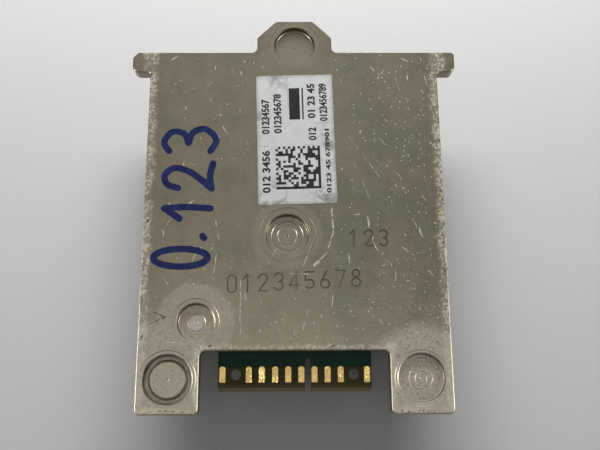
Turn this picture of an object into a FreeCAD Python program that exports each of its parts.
"""LED lamp driver module: a stamped aluminium heat-sink plate with a circuit board screwed under it.

Frame: +Z up with the label side on top, +X across, +Y towards the single top tab. The origin is at the
middle of the outline, on the surface that the module rests on, so the tallest capacitors stand on z = 0.
All sizes are in millimetres.
"""
import FreeCAD, Part
import math
import os

V = FreeCAD.Vector

# ---- heat-sink plate: outline ----
plate_thickness = 3.0
body_width = 59.7
body_height = 73.4          # foot edge to top edge, without the tab
wing_span = 67.3
wing_height = 4.5
tab_width = 15.6
tab_height = 7.2
tab_flat = 7.7              # straight top of the tab, between its two chamfers
tab_shoulder = 3.4          # straight sides of the tab below the chamfers
notch_width = 36.0          # connector notch between the two ears
notch_depth = 11.7
die_roll = 0.35             # rounded top rim that the blanking die leaves
foot_chamfer = 0.15

# ---- heights, stacked up from the resting surface ----
tallest_part = 10.2         # electrolytic capacitors, which the module stands on
board_thickness = 1.6
board_gap = 1.2             # boss height, filled by the thermal pads
label_thickness = 0.1
contact_thickness = 0.05

board_bottom = tallest_part
board_top = board_bottom + board_thickness
plate_bottom = board_top + board_gap
plate_top = plate_bottom + plate_thickness

# ---- places along Y, worked out from the outline ----
overall_height = body_height + tab_height
foot_y = -overall_height / 2
top_edge_y = foot_y + body_height
tab_top_y = overall_height / 2
notch_y = foot_y + notch_depth
ear_width = (body_width - notch_width) / 2
ear_middle_x = (notch_width + ear_width) / 2

# ---- pressed bosses: (x, y) of each, the recess on top and the boss below ----
tab_boss = (0.1, tab_top_y - 5.6)
centre_boss = (-1.4, -6.2)
corner_boss = (-18.9, -23.2)
left_ear_boss = (-ear_middle_x, foot_y + 6.4)
right_ear_boss = (ear_middle_x, foot_y + 6.6)
seat_boss_radius = 4.1
seat_boss_height = 1.5
board_boss_radius = 3.9
screw_radius = 1.5
screw_bite = 2.3            # depth of the blind screw holes above the boss face
washer_thickness = 0.5
washer_radius = 3.1

# ---- circuit board ----
board_width = 54.0
board_top_y = top_edge_y - 3.4
board_foot_y = notch_y + 1.0
board_corner = 1.5
tongue_width = 29.7
tongue_end_y = -36.15
tongue_bevel = 0.4          # depth of the lead-in bevel on both faces
tongue_bevel_run = 0.8
key_slot_place = 6.5        # in contact pitches from the first contact
key_slot_width = 1.0
key_slot_length = 5.8
contact_pitch = 2.54
contact_width = 1.14
contact_length = 3.0
contact_y = -32.9
contact_places = 12
latch_places = (1, 10)      # places along the row that hold a latch hole, not a contact
latch_radius = 1.0
screw_clearance = 1.7

# ---- label ----
label_width = 15.7
label_height = 27.7
label_middle = (0.35, 13.9)
label_turn = 1.5            # degrees anticlockwise
label_corner = 0.4

os.makedirs("parts", exist_ok=True)


# ================= shared shapes =================

touching = 1e-6             # points nearer than this are one point
overshoot = 1.0             # how far a cutting tool passes the surface that it cuts


def block(x0, x1, y0, y1, z0, z1):
    return Part.makeBox(x1 - x0, y1 - y0, z1 - z0, V(x0, y0, z0))


def brick(width, depth, z0, z1, x=0.0, y=0.0):
    """A box centred on (x, y)."""
    return block(x - width / 2, x + width / 2, y - depth / 2, y + depth / 2, z0, z1)


def rod(x, y, z0, z1, radius):
    return Part.makeCylinder(radius, z1 - z0, V(x, y, z0))


def rounded_prism(corners, z0, z1):
    """A prism over a closed outline. Each corner is (x, y, radius); radius 0 leaves it sharp."""
    places = []
    for i, (x, y, radius) in enumerate(corners):
        here = V(x, y, z0)
        before = V(*corners[i - 1][:2], z0) - here
        after = V(*corners[(i + 1) % len(corners)][:2], z0) - here
        before.normalize()
        after.normalize()
        if radius:
            half = before.getAngle(after) / 2
            setback = radius / math.tan(half)
            middle = before + after
            middle.normalize()
            bulge = here + middle * (radius / math.sin(half) - radius)
            places.append((here + before * setback, bulge, here + after * setback))
        else:
            places.append((here, None, here))
    edges = []
    for i, (start, bulge, end) in enumerate(places):
        if bulge:
            edges.append(Part.Arc(start, bulge, end).toShape())
        following = places[(i + 1) % len(places)][0]
        if end.distanceToPoint(following) > touching:
            edges.append(Part.LineSegment(end, following).toShape())
    face = Part.Face(Part.Wire(edges))
    return face.extrude(V(0, 0, z1 - z0))


def turned(x, y, profile):
    """A solid of revolution about a vertical axis through (x, y). The profile is a list of (radius, z)."""
    points = [V(radius, 0, z) for radius, z in profile]
    face = Part.Face(Part.makePolygon(points + points[:1]))
    solid = face.revolve(V(0, 0, 0), V(0, 0, 1), 360)
    solid.translate(V(x, y, 0))
    return solid


def side_prism(profile, width):
    """A bent strip: its outline in X and Z, swept along Y and centred on y = 0."""
    points = [V(x, -width / 2, z) for x, z in profile]
    return Part.Face(Part.makePolygon(points + points[:1])).extrude(V(0, width, 0))


def joined(solids):
    first = solids[0]
    return first.fuse(solids[1:]).removeSplitter() if len(solids) > 1 else first


def group(solids):
    return Part.makeCompound(solids)


def turned_about_z(shape, degrees):
    copy = shape.copy()
    copy.rotate(V(0, 0, 0), V(0, 0, 1), degrees)
    return copy


def under_board(shape, x, y, degrees=0.0):
    """Puts a component, modelled standing on z = 0, on the board's underside at (x, y)."""
    copy = turned_about_z(shape, degrees)
    copy.rotate(V(0, 0, 0), V(1, 0, 0), 180)
    copy.translate(V(x, y, board_bottom))
    return copy


def top_rim(solid, z):
    """The edges of a solid that lie flat at height z."""
    def lies_at(edge):
        box, slack = edge.BoundBox, 1e-4
        return abs(box.ZMin - z) < slack and abs(box.ZMax - z) < slack
    return [edge for edge in solid.Edges if lies_at(edge)]


def save(name, shape):
    solids = shape.Solids
    if not solids or not all(s.isValid() and s.isClosed() for s in solids):
        raise RuntimeError(f"{name} isn't made of closed solids")
    out = solids[0] if len(solids) == 1 else Part.makeCompound(solids)
    out.exportStep(f"parts/{name}.step")


# ================= heat-sink plate =================

def plate_outline():
    body, wing, tab = body_width / 2, wing_span / 2, tab_width / 2
    notch, flat = notch_width / 2, tab_flat / 2
    wing_y = top_edge_y - wing_height
    shoulder_y = top_edge_y + tab_shoulder
    tab_x = tab_boss[0]
    tab_corner, inner_corner, foot_corner = 0.8, 1.2, 1.0
    wing_corner, wing_hook, wing_root = 0.7, 1.4, 0.6
    clipped, clipped_corner = 1.1, 0.5
    return [
        (tab_x - flat, tab_top_y, tab_corner), (tab_x + flat, tab_top_y, tab_corner),
        (tab_x + tab, shoulder_y, tab_corner), (tab_x + tab, top_edge_y, inner_corner),
        (wing, top_edge_y, wing_corner), (wing, wing_y, wing_hook), (body, wing_y, wing_root),
        (body, foot_y, foot_corner), (notch, foot_y, foot_corner), (notch, notch_y, inner_corner),
        (-notch, notch_y, inner_corner), (-notch, foot_y, foot_corner), (-body, foot_y, foot_corner),
        (-body, wing_y, wing_root), (-wing, wing_y, wing_hook), (-wing, top_edge_y - clipped, clipped_corner),
        (-wing + clipped, top_edge_y, clipped_corner), (tab_x - tab, top_edge_y, inner_corner),
        (tab_x - tab, shoulder_y, tab_corner),
    ]


def recess_cutter(place, radius, depth, halo, rings=(), island=None):
    """The punch mark: a straight-walled pit with a rounded lip, turned rings and a centre dimple.

    halo is the radius of the shallow disc that the press tool leaves around the pit.
    rings are (radius, depth) grooves in the floor, outermost first.
    island is (radius, height) of a raised middle."""
    lip, halo_depth, halo_slope = 0.25, 0.06, 0.12
    wall_foot, floor_corner, groove_half = 0.12, 0.2, 0.16
    dimple_radius, dimple_depth = 0.32, 0.18
    floor = plate_top - depth
    above = plate_top + overshoot
    halo_floor = plate_top - halo_depth
    outline = [(0, above), (halo, above), (halo, plate_top)]
    outline += [(halo - halo_slope, halo_floor), (radius + lip, halo_floor)]
    outline += [(radius + lip / 3, halo_floor - lip / 3), (radius, halo_floor - lip)]
    outline += [(radius - floor_corner / 2, floor + wall_foot), (radius - floor_corner, floor)]
    if island:
        island_radius, island_height = island
        island_slope, island_shoulder = 0.35, 0.25
        outline += [(island_radius + island_slope, floor)]
        outline += [(island_radius, floor + island_height * 0.6)]
        outline += [(island_radius - island_shoulder, floor + island_height)]
        floor += island_height
    for ring_radius, ring_depth in rings:
        outline += [(ring_radius + groove_half, floor), (ring_radius, floor - ring_depth)]
        outline += [(ring_radius - groove_half, floor)]
    outline += [(dimple_radius, floor), (0, floor - dimple_depth)]
    return turned(place[0], place[1], outline)


def boss(place, radius, height):
    """The metal that the punch pushes out of the underside, with a small chamfer at its end."""
    x, y = place
    root, chamfer = plate_bottom + 0.5, 0.25
    end = plate_bottom - height
    side = [(radius, root), (radius, end + chamfer), (radius - chamfer, end)]
    return turned(x, y, [(0, root)] + side + [(0, end)])


# The round end of an engraved stroke is a little wider than the stroke, so that its edge crosses the
# stroke's sides cleanly.
stroke_end_swell = 1.09


def groove_line(start, end, width, depth):
    """A straight engraved stroke with round ends."""
    low = plate_top - depth
    run = V(end[0] - start[0], end[1] - start[1], 0)
    bar = Part.makeBox(run.Length, width, depth + overshoot, V(0, -width / 2, 0))
    bar.rotate(V(0, 0, 0), V(0, 0, 1), math.degrees(math.atan2(run.y, run.x)))
    bar.translate(V(start[0], start[1], low))
    ends = [rod(x, y, low, plate_top + overshoot, width / 2 * stroke_end_swell) for x, y in (start, end)]
    return [bar] + ends


def groove_arc(middle, radius, from_angle, to_angle, width, depth):
    """A curved engraved stroke, anticlockwise between two angles in degrees, with round ends."""
    low, tall = plate_top - depth, depth + overshoot
    sweep = to_angle - from_angle
    place, up = V(middle[0], middle[1], low), V(0, 0, 1)
    outer = Part.makeCylinder(radius + width / 2, tall, place, up, sweep)
    inner = rod(middle[0], middle[1], low - overshoot, low + tall + overshoot, radius - width / 2)
    band = outer.cut(inner)
    band.rotate(place, up, from_angle)
    ends = []
    if sweep < 360:
        for angle in (from_angle, to_angle):
            x = middle[0] + radius * math.cos(math.radians(angle))
            y = middle[1] + radius * math.sin(math.radians(angle))
            ends.append(rod(x, y, low, plate_top + overshoot, width / 2 * stroke_end_swell))
    return [band] + ends


def digit(number, x, y, high, stroke, depth):
    """One engraved numeral, its lower left corner at (x, y)."""
    wide = high * 0.5
    r = wide / 2
    left, right, middle = x, x + wide, x + r
    top, half = y + high, y + high / 2

    def line(*ends):
        return groove_line(ends[0], ends[1], stroke, depth)

    def arc(cx, cy, radius, a, b):
        return groove_arc((cx, cy), radius, a, b, stroke, depth)

    low_bowl, high_bowl = (middle, y + r), (middle, top - r)
    strokes = {
        0: lambda: arc(*high_bowl, r, 0, 180) + arc(*low_bowl, r, 180, 360)
        + line((left, y + r), (left, top - r)) + line((right, y + r), (right, top - r)),
        1: lambda: line((middle, y), (middle, top)) + line((middle, top), (left, top - r)),
        2: lambda: arc(*high_bowl, r, -30, 180) + line((right - 0.13 * r, top - 1.5 * r), (left, y))
        + line((left, y), (right, y)),
        3: lambda: arc(*high_bowl, r, -90, 150) + arc(middle, half - r, r, -150, 90),
        4: lambda: line((right - r / 2, y), (right - r / 2, top)) + line((right - r / 2, top), (left, y + r))
        + line((left, y + r), (right, y + r)),
        5: lambda: line((left, top), (right, top)) + line((left, top), (left, half))
        + arc(middle, half - r * 0.85, r, -140, 120),
        6: lambda: arc(*low_bowl, r, 0, 360) + line((left + 0.1 * r, y + 1.5 * r), (middle + 0.4 * r, top)),
        7: lambda: line((left, top), (right, top)) + line((right, top), (middle - 0.3 * r, y)),
        8: lambda: arc(*low_bowl, r, 0, 360) + arc(middle, top - r * 0.9, r * 0.82, 0, 360),
    }
    return strokes[number]()


def engraving():
    """Generic counting numerals stamped in the face, and an arrow that points across the plate."""
    stroke, depth, high = 0.34, 0.22, 3.3
    strokes = []
    row_x, row_y, row_pitch, row_climb = -12.9, -17.5, 3.0, 0.13
    for i in range(9):
        strokes += digit(i, row_x + i * row_pitch, row_y + i * row_climb, high, stroke, depth)
    mark_x, mark_y, mark_pitch, mark_high = 10.9, -8.4, 2.9, 3.1
    for i, number in enumerate((1, 2, 3)):
        strokes += digit(number, mark_x + i * mark_pitch, mark_y, mark_high, stroke, depth)
    arrow_tip, arrow_back, arrow_spread = (-24.7, -22.25), -27.6, 1.3
    for side in (-1, 1):
        back = (arrow_back, arrow_tip[1] + side * arrow_spread)
        strokes += groove_line(arrow_tip, back, stroke, depth)
    return strokes


def heatsink_plate():
    plate = rounded_prism(plate_outline(), plate_bottom, plate_top)
    plate = plate.makeFillet(die_roll, top_rim(plate, plate_top))
    plate = plate.makeChamfer(foot_chamfer, top_rim(plate, plate_bottom))
    seats = [boss(place, seat_boss_radius, seat_boss_height)
             for place in (tab_boss, left_ear_boss, right_ear_boss)]
    posts = [boss(place, board_boss_radius, board_gap) for place in (centre_boss, corner_boss)]
    plate = joined([plate] + seats + posts)
    recesses = [
        recess_cutter(tab_boss, 4.15, 1.5, 5.3),
        recess_cutter(centre_boss, 4.15, 1.3, 5.6, rings=((3.05, 0.1), (1.9, 0.1))),
        recess_cutter(corner_boss, 3.55, 1.3, 4.6, rings=((1.65, 0.08),)),
        recess_cutter(left_ear_boss, 4.6, 1.45, 5.5, island=(3.5, 0.75)),
        recess_cutter(right_ear_boss, 4.45, 1.2, 5.2, rings=((2.2, 0.05), (1.1, 0.07))),
    ]
    boss_end = plate_bottom - board_gap
    thread_room = 0.02
    holes = [rod(x, y, boss_end - overshoot, boss_end + screw_bite, screw_radius + thread_room)
             for x, y in (centre_boss, corner_boss)]
    return plate.cut(recesses + holes).cut(joined(engraving()))


# ================= label, board and what joins them =================

def label():
    half_w, half_h = label_width / 2, label_height / 2
    corners = [(-half_w, -half_h), (half_w, -half_h), (half_w, half_h), (-half_w, half_h)]
    sheet = rounded_prism([(x, y, label_corner) for x, y in corners], plate_top, plate_top + label_thickness)
    sheet = turned_about_z(sheet, label_turn)
    sheet.translate(V(label_middle[0], label_middle[1], 0))
    return sheet


def contact_x(place):
    return (place - (contact_places - 1) / 2) * contact_pitch


def circuit_board():
    half, tongue = board_width / 2, tongue_width / 2
    root_corner, end_corner = 0.6, 0.7
    outline = [
        (half, board_top_y, board_corner), (half, board_foot_y, board_corner),
        (tongue, board_foot_y, root_corner), (tongue, tongue_end_y, end_corner),
        (-tongue, tongue_end_y, end_corner), (-tongue, board_foot_y, root_corner),
        (-half, board_foot_y, board_corner), (-half, board_top_y, board_corner),
    ]
    board = rounded_prism(outline, board_bottom, board_top)
    low, high = board_bottom - overshoot, board_top + overshoot
    slot_x = contact_x(key_slot_place)
    slot_top = tongue_end_y + key_slot_length
    slot_half = key_slot_width / 2
    slot = block(slot_x - slot_half, slot_x + slot_half, tongue_end_y - overshoot, slot_top, low, high)
    slot_end = rod(slot_x, slot_top, low, high, slot_half)
    latches = [rod(contact_x(i), contact_y, low, high, latch_radius) for i in latch_places]
    screws = [rod(x, y, low, high, screw_clearance) for x, y in (centre_boss, corner_boss)]
    bevels = []
    for face_z, inward in ((board_bottom, 1), (board_top, -1)):
        side_x, end_y = -tongue - overshoot, tongue_end_y - touching
        inner_y = tongue_end_y + tongue_bevel_run
        clear_z = face_z - inward * overshoot
        wedge = Part.makePolygon([
            V(side_x, end_y, face_z + inward * tongue_bevel), V(side_x, end_y, clear_z),
            V(side_x, inner_y, clear_z), V(side_x, inner_y, face_z),
            V(side_x, end_y, face_z + inward * tongue_bevel)])
        bevels.append(Part.Face(wedge).extrude(V(tongue_width + 2 * overshoot, 0, 0)))
    return board.cut([slot, slot_end] + latches + screws + bevels)


def edge_contacts(low, high):
    """Ten gold fingers, with the two latch places and the key slot left free."""
    half_w, half_l = contact_width / 2, contact_length / 2
    foot_corner, head_corner = 0.1, 0.45
    fingers = []
    for i in range(contact_places):
        if i not in latch_places:
            left, right = contact_x(i) - half_w, contact_x(i) + half_w
            foot, head = contact_y - half_l, contact_y + half_l
            corners = [(left, foot, foot_corner), (right, foot, foot_corner),
                       (right, head, head_corner), (left, head, head_corner)]
            fingers.append(rounded_prism(corners, low, high))
    return group(fingers)


def gap_pad(x0, x1, y0, y1):
    """A soft heat-conducting pad, pressed between the board and the plate."""
    corner = 0.8
    corners = [(x0, y0, corner), (x1, y0, corner), (x1, y1, corner), (x0, y1, corner)]
    return rounded_prism(corners, board_top, plate_bottom)


def board_screw(x, y):
    """A pan-head screw driven up through the washer and the board into the boss."""
    seat = board_bottom - washer_thickness
    tip_clearance, tip_chamfer, tip_taper = 0.15, 0.3, 0.35
    tip = plate_bottom - board_gap + screw_bite - tip_clearance
    head_high, head_radius, crown_radius = 2.2, 2.8, 1.9
    crown = seat - head_high
    profile = [(0, tip), (screw_radius - tip_chamfer, tip), (screw_radius, tip - tip_taper)]
    profile += [(screw_radius, seat), (head_radius, seat), (head_radius, seat - head_high * 0.45)]
    profile += [(head_radius * 0.9, seat - head_high * 0.75), (crown_radius, crown), (0, crown)]
    screw = turned(x, y, profile)
    drive_depth, lobe_circle, lobe, lobes = 1.3, 1.0, 0.32, 6
    low, top = crown - overshoot, crown + drive_depth
    cutters = [rod(x, y, low, top, lobe_circle - lobe / 3)]
    for i in range(lobes):
        angle = 2 * math.pi * i / lobes
        lobe_x, lobe_y = x + lobe_circle * math.cos(angle), y + lobe_circle * math.sin(angle)
        cutters.append(rod(lobe_x, lobe_y, low, top, lobe))
    return screw.cut(joined(cutters))


def board_washers():
    play = 0.1
    washers = []
    for x, y in (centre_boss, corner_boss):
        ring = rod(x, y, board_bottom - washer_thickness, board_bottom, washer_radius)
        hole = rod(x, y, board_bottom - overshoot, board_bottom + overshoot, screw_radius + play)
        washers.append(ring.cut(hole))
    return group(washers)


# ================= components, each modelled standing on z = 0 =================

def gull_lead(body_edge, foot_end, shoulder_z, width, metal=0.15):
    """One bent lead: flat out of the body, down to the board and out again as a foot."""
    reach = foot_end - body_edge
    knee = body_edge + reach * 0.38
    heel = body_edge + reach * 0.55
    lean = metal * 0.7
    profile = [
        (body_edge, shoulder_z), (knee, shoulder_z), (heel, metal), (foot_end, metal), (foot_end, 0.0),
        (heel - lean, 0.0), (knee - lean, shoulder_z - metal), (body_edge, shoulder_z - metal),
    ]
    return side_prism(profile, width)


def lead_row(count, pitch, lead, turn):
    """A row of equal leads along one side of a package. turn is the side, in degrees."""
    row = []
    for i in range(count):
        copy = lead.copy()
        copy.translate(V(0, (i - (count - 1) / 2) * pitch, 0))
        row.append(turned_about_z(copy, turn))
    return row


def moulded_body(length, width, high, standoff=0.1, draft=0.12, dot=0.0):
    """A moulded package: two tapered halves that meet at the lead line, with a pin-one dimple."""
    middle = (standoff + high) / 2

    def level(inset, z):
        x, y = length / 2 - inset, width / 2 - inset
        return Part.makePolygon([V(-x, -y, z), V(x, -y, z), V(x, y, z), V(-x, y, z), V(-x, -y, z)])

    lower = Part.makeLoft([level(draft, standoff), level(0, middle)], True)
    upper = Part.makeLoft([level(0, middle), level(draft, high)], True)
    body = lower.fuse(upper).removeSplitter()
    if dot:
        dot_depth, inset = 0.06, max(dot * 1.8, 0.8)
        mark = rod(-length / 2 + inset, -width / 2 + inset, high - dot_depth, high + overshoot, dot)
        body = body.cut(mark)
    return body


def quad_package(side, leads_a_side, pitch, high):
    """A square package with gull-wing leads on all four sides: (body, leads)."""
    lead_reach, dot = 1.0, 0.5
    body = moulded_body(side, side, high, dot=dot)
    lead = gull_lead(side / 2, side / 2 + lead_reach, high / 2, pitch * 0.44)
    leads = []
    for turn in (0, 90, 180, 270):
        leads += lead_row(leads_a_side, pitch, lead, turn)
    return body, group(leads)


def dual_package(length, width, leads_a_side, pitch, high):
    """A package with gull-wing leads along its two long sides: (body, leads)."""
    lead_reach, dot = 1.0, 0.35
    body = moulded_body(length, width, high, dot=dot)
    lead = gull_lead(width / 2, width / 2 + lead_reach, high / 2, pitch * 0.42)
    leads = lead_row(leads_a_side, pitch, lead, 90) + lead_row(leads_a_side, pitch, lead, 270)
    return body, group(leads)


def power_package():
    """A power transistor with a soldered metal tab: (body, lead frame)."""
    length, width, high = 6.1, 6.5, 2.3
    tab_half, tab_metal, tab_in, tab_out = 2.7, 0.5, 0.6, 1.0
    lead_pitch, lead_width, lead_reach, shoulder = 4.56, 0.8, 2.7, 1.2
    stub_reach = 0.8
    end = length / 2
    body = moulded_body(length, width, high, standoff=0.0, draft=0.25)
    tab = block(end - tab_in, end + tab_out, -tab_half, tab_half, 0.0, tab_metal)
    body = body.cut(tab)
    frame = [tab]
    for side in (-1, 1):
        lead = turned_about_z(gull_lead(end, end + lead_reach, shoulder, lead_width, tab_metal), 180)
        lead.translate(V(0, side * lead_pitch / 2, 0))
        frame.append(lead)
    stub = block(-end - stub_reach, -end, -lead_width / 2, lead_width / 2, shoulder - tab_metal, shoulder)
    return body, group(frame + [stub])


def diode_package():
    """A block-shaped diode whose two leads wrap down its ends and under it: (body, leads)."""
    length, width, high, standoff = 6.9, 5.9, 2.3, 0.2
    lead_width, lead_top, metal, reach, bow = 3.0, 1.35, 0.2, 1.2, 0.5
    body = moulded_body(length, width, high, standoff=standoff, draft=0.2)
    end = length / 2
    outer, tip = end + bow, end - reach
    profile = [
        (end, lead_top), (outer, lead_top), (outer, 0.0), (tip, 0.0), (tip, metal), (outer - metal, metal),
        (outer - metal, lead_top - metal), (end, lead_top - metal),
    ]
    lead = side_prism(profile, lead_width)
    return body, group([lead, turned_about_z(lead, 180)])


def chip(length, width, high, end):
    """A chip part: (body between the caps, its two metal end caps)."""
    wrap = 0.03             # the caps' plating stands this far outside the body
    body = brick(length - 2 * end, width, wrap, high - wrap)
    caps = []
    for side in (-1, 1):
        cap = brick(end, width + 2 * wrap, 0.0, high, side * (length - end) / 2)
        caps.append(cap.makeFillet(min(end, high) * 0.18, cap.Edges))
    return body, caps


def electrolytic():
    """An aluminium can on its square plastic base, with two corners cut to mark the plus side."""
    radius, base_side, base_high, cut = 4.0, 8.3, 1.5, 1.4
    seat_depth, seat_play, base_corner = 0.5, 0.02, 0.2
    half = base_side / 2
    corners = [(-half, -half), (half, -half), (half, half - cut), (half - cut, half), (-half + cut, half),
               (-half, half - cut)]
    base = rounded_prism([(x, y, base_corner) for x, y in corners], 0.0, base_high)
    base = base.cut(rod(0, 0, base_high - seat_depth, base_high + overshoot, radius + seat_play))
    top, foot = tallest_part, base_high - seat_depth
    foot_chamfer, neck_depth, neck_half = 0.3, 0.32, 0.4
    neck = base_high + 0.95
    crown, crown_middle = 0.45, 0.14
    profile = [
        (0, foot), (radius - foot_chamfer, foot), (radius, foot + foot_chamfer), (radius, neck - neck_half),
        (radius - neck_depth, neck), (radius, neck + neck_half), (radius, top - crown),
        (radius - crown_middle, top - crown_middle), (radius - crown, top), (0, top),
    ]
    can = turned(0, 0, profile)
    vent_depth, vent_width, vent_length = 0.12, 0.22, radius * 1.35
    score = brick(vent_length, vent_width, top - vent_depth, top + overshoot)
    return can.cut(joined([score, turned_about_z(score, 90)])), base


def shielded_inductor():
    """A drum core and its winding inside a square ferrite shield: (shield, drum, winding, terminals)."""
    side, high, standoff = 12.3, 8.0, 0.4
    bore, flange, post, flange_high = 5.15, 4.85, 2.2, 1.3
    shield_inset, shield_top, shield_cut, shield_corner = 0.3, 7.8, 1.8, 0.6
    half = side / 2 - shield_inset
    long, short = half, half - shield_cut
    outline = [(-long, -short), (-short, -long), (short, -long), (long, -short),
               (long, short), (short, long), (-short, long), (-long, short)]
    shield = rounded_prism([(x, y, shield_corner) for x, y in outline], standoff, shield_top)
    shield = shield.cut(rod(0, 0, -overshoot, high + overshoot, bore))
    low_flange, high_flange, bevel = standoff + flange_high, high - flange_high, 0.25
    drum = turned(0, 0, [
        (0, standoff), (flange, standoff), (flange, low_flange), (post, low_flange), (post, high_flange),
        (flange, high_flange), (flange, high - bevel), (flange - bevel, high), (0, high)])
    winding_inset = 0.25
    winding = rod(0, 0, low_flange, high_flange, flange - winding_inset)
    winding = winding.cut(rod(0, 0, 0, high, post))
    metal, wide, rise, reach = 0.3, 3.4, 2.6, 2.6
    end = side / 2
    profile = [(end - metal, rise), (end, rise), (end, 0.0), (end - reach, 0.0), (end - reach, metal),
               (end - metal, metal)]
    lead = side_prism(profile, wide)
    return shield, drum, winding, group([lead, turned_about_z(lead, 180)])


choke_core_inner, choke_core_outer = 3.1, 5.9
choke_core_low, choke_core_high = 2.1, 6.1
choke_wire = 0.75
choke_span = 124.0          # degrees of the ring that each winding covers


def common_mode_choke():
    """A wound ring core lying flat on a plastic base: (core, two windings, base, feet)."""
    core_edge = 0.4
    core = rod(0, 0, choke_core_low, choke_core_high, choke_core_outer)
    core = core.cut(rod(0, 0, choke_core_low - overshoot, choke_core_high + overshoot, choke_core_inner))
    core = core.makeFillet(core_edge, [e for e in core.Edges if e.Curve.TypeId == "Part::GeomCircle"])
    air = 0.05              # between the core and the wire
    reach = choke_wire + air
    low, high = choke_core_low - reach, choke_core_high + reach
    windings = []
    for middle_angle in (0, 180):
        sleeve = Part.makeCylinder(choke_core_outer + reach, high - low, V(0, 0, low), V(0, 0, 1), choke_span)
        sleeve = sleeve.cut(rod(0, 0, low - overshoot, high + overshoot, choke_core_inner - reach))
        room = rod(0, 0, choke_core_low - air, choke_core_high + air, choke_core_outer + air)
        room = room.cut(rod(0, 0, low, high, choke_core_inner - air))
        windings.append(turned_about_z(sleeve.cut(room), middle_angle - choke_span / 2))
    half, corner, foot_high = 7.0, 1.6, 0.25
    post_radius, post_top = 1.6, choke_core_high - 0.3
    corners = [(-half, -half, corner), (half, -half, corner), (half, half, corner), (-half, half, corner)]
    base = rounded_prism(corners, foot_high, low)
    base = base.fuse(rod(0, 0, foot_high, post_top, post_radius)).removeSplitter()
    foot_width, foot_depth = 1.8, 1.6
    feet = []
    for x in (-1, 1):
        for y in (-1, 1):
            feet.append(brick(foot_width, foot_depth, 0.0, foot_high, x * (half - 1.4), y * (half - 1.6)))
    return core, windings, base, group(feet)


def crystal():
    """A quartz crystal: a ceramic tray under a welded metal lid: (tray, lid)."""
    length, width, tray_high, lid_high = 5.0, 3.2, 0.75, 1.1
    lid_inset, lid_edge = 0.2, 0.12
    tray = brick(length, width, 0.0, tray_high)
    lid = brick(length - 2 * lid_inset, width - 2 * lid_inset, tray_high, lid_high)
    return tray, lid.makeFillet(lid_edge, top_rim(lid, lid_high))


# ================= where the components sit, in the module's own X and Y =================

electrolytic_places = [(-22.2, 25.2, 0), (22.2, 25.2, 180), (-22.3, -13.0, 90), (22.2, -22.6, 270)]
inductor_places = [(-20.0, 0.5, 0), (20.0, 9.5, 90), (20.0, -4.5, 90)]
mosfet_places = [(x, 24.6, 270) for x in (-12.0, -4.0, 4.0, 12.0)]
driver_places = [(-20.2, 10.7, 0), (-20.2, 17.5, 0)]
diode_places = [(8.6, y, 0) for y in (15.2, 8.4, 1.6)] + [(-8.6, -21.5, 0)]
controller_place = (-3.5, 8.2, 0)
transceiver_place = (-8.8, -11.4, 0)
crystal_place = (-9.3, -1.2, 0)
choke_place = (6.0, -19.4, 90)
shunt_places = [(17.6, -12.9, 0), (17.6, -16.6, 0), (24.4, -14.7, 90)]

large_chips = [(x, 16.9, 90) for x in (-12.6, -8.8, -5.0, -1.2)]
large_chips += [(x, 18.2, 0) for x in (16.2, 20.4, 24.6)]
large_chips += [(-14.8, y, 0) for y in (-9.2, -12.3, -15.4)]
small_chips = [(-11.6, y, 0) for y in (3.5, 5.6, 7.7, 9.8, 11.9)]
small_chips += [(x, 0.4, 90) for x in (-4.4, -2.4, -0.4, 1.6)]
small_chips += [(2.7, 17.2, 90), (7.2, -4.6, 0), (10.4, -4.6, 0), (7.2, -7.0, 0), (10.4, -7.0, 0)]
resistor_places = [(-11.6 + 1.7 * i, -15.6, 90) for i in range(6)]
resistor_places += [(-12.6 + 1.9 * i, -26.2, 90) for i in range(6)]
resistor_places += [(-25.4 + 1.7 * i, -7.2, 90) for i in range(6)]
resistor_places += [(x, -9.6, 0) for x in (4.3, 7.2, 10.4)]
resistor_places += [(-4.2, -12.0, 90), (-2.6, -12.0, 90)]


def placed(shape, place):
    return under_board(shape, *place)


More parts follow.
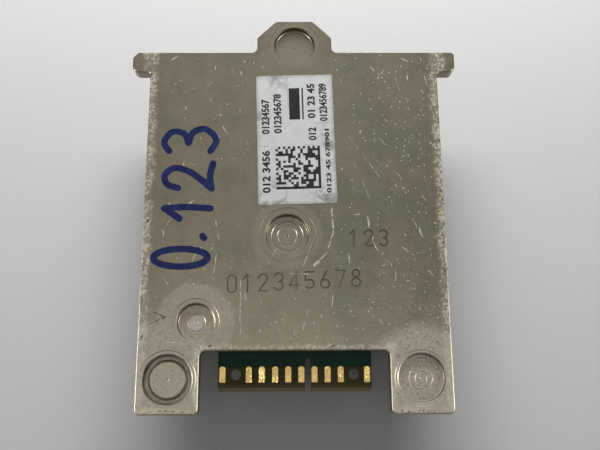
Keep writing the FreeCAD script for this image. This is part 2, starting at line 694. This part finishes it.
def save_board_parts():
    can, base = electrolytic()
    for i, place in enumerate(electrolytic_places, 1):
        save(f"electrolytic_can_{i}", placed(can, place))
        save(f"electrolytic_base_{i}", placed(base, place))

    shield, drum, winding, terminals = shielded_inductor()
    for i, place in enumerate(inductor_places, 1):
        save(f"inductor_shield_{i}", placed(shield, place))
        save(f"inductor_drum_{i}", placed(drum, place))
        save(f"inductor_winding_{i}", placed(winding, place))
        save(f"inductor_terminals_{i}", placed(terminals, place))

    core, windings, choke_base, feet = common_mode_choke()
    save("choke_core", placed(core, choke_place))
    save("choke_windings", group([placed(sleeve, choke_place) for sleeve in windings]))
    save("choke_base", placed(choke_base, choke_place))
    save("choke_feet", placed(feet, choke_place))

    body, frame = power_package()
    for i, place in enumerate(mosfet_places, 1):
        save(f"mosfet_body_{i}", placed(body, place))
        save(f"mosfet_leadframe_{i}", placed(frame, place))

    body, leads = quad_package(10.0, 16, 0.5, 1.2)
    save("controller_body", placed(body, controller_place))
    save("controller_leads", placed(leads, controller_place))

    body, leads = dual_package(9.7, 4.4, 14, 0.65, 1.1)
    for i, place in enumerate(driver_places, 1):
        save(f"driver_body_{i}", placed(body, place))
        save(f"driver_leads_{i}", placed(leads, place))

    body, leads = dual_package(4.9, 3.9, 4, 1.27, 1.6)
    save("transceiver_body", placed(body, transceiver_place))
    save("transceiver_leads", placed(leads, transceiver_place))

    body, leads = diode_package()
    save("diode_bodies", group([placed(body, place) for place in diode_places]))
    save("diode_leads", group([placed(leads, place) for place in diode_places]))

    tray, lid = crystal()
    save("crystal_tray", placed(tray, crystal_place))
    save("crystal_lid", placed(lid, crystal_place))


def save_chips():
    """Chip resistors and capacitors: like parts share one node for bodies and one for end caps."""
    kinds = [
        ("shunt", chip(6.4, 3.2, 0.8, 0.9), shunt_places),
        ("resistor", chip(1.6, 0.8, 0.45, 0.3), resistor_places),
    ]
    for name, (body, caps), places in kinds:
        save(f"{name}_bodies", group([placed(body, place) for place in places]))
        save(f"{name}_ends", group([placed(cap, place) for place in places for cap in caps]))
    ceramics = [(chip(3.2, 2.5, 2.3, 0.5), large_chips), (chip(2.0, 1.25, 1.1, 0.4), small_chips)]
    bodies, ends = [], []
    for (body, caps), places in ceramics:
        bodies += [placed(body, place) for place in places]
        ends += [placed(cap, place) for place in places for cap in caps]
    save("ceramic_bodies", group(bodies))
    save("ceramic_ends", group(ends))


save("heatsink_plate", heatsink_plate())
save("rating_label", label())
save("circuit_board", circuit_board())
save("edge_contacts_upper", edge_contacts(board_top, board_top + contact_thickness))
save("edge_contacts_lower", edge_contacts(board_bottom - contact_thickness, board_bottom))
save("gap_pad_power", gap_pad(-17.0, 17.0, 19.6, 29.4))
save("gap_pad_driver", gap_pad(-25.5, -8.0, 1.5, 17.5))
save("board_screw_centre", board_screw(*centre_boss))
save("board_screw_corner", board_screw(*corner_boss))
save("board_washers", board_washers())
save_board_parts()
save_chips()
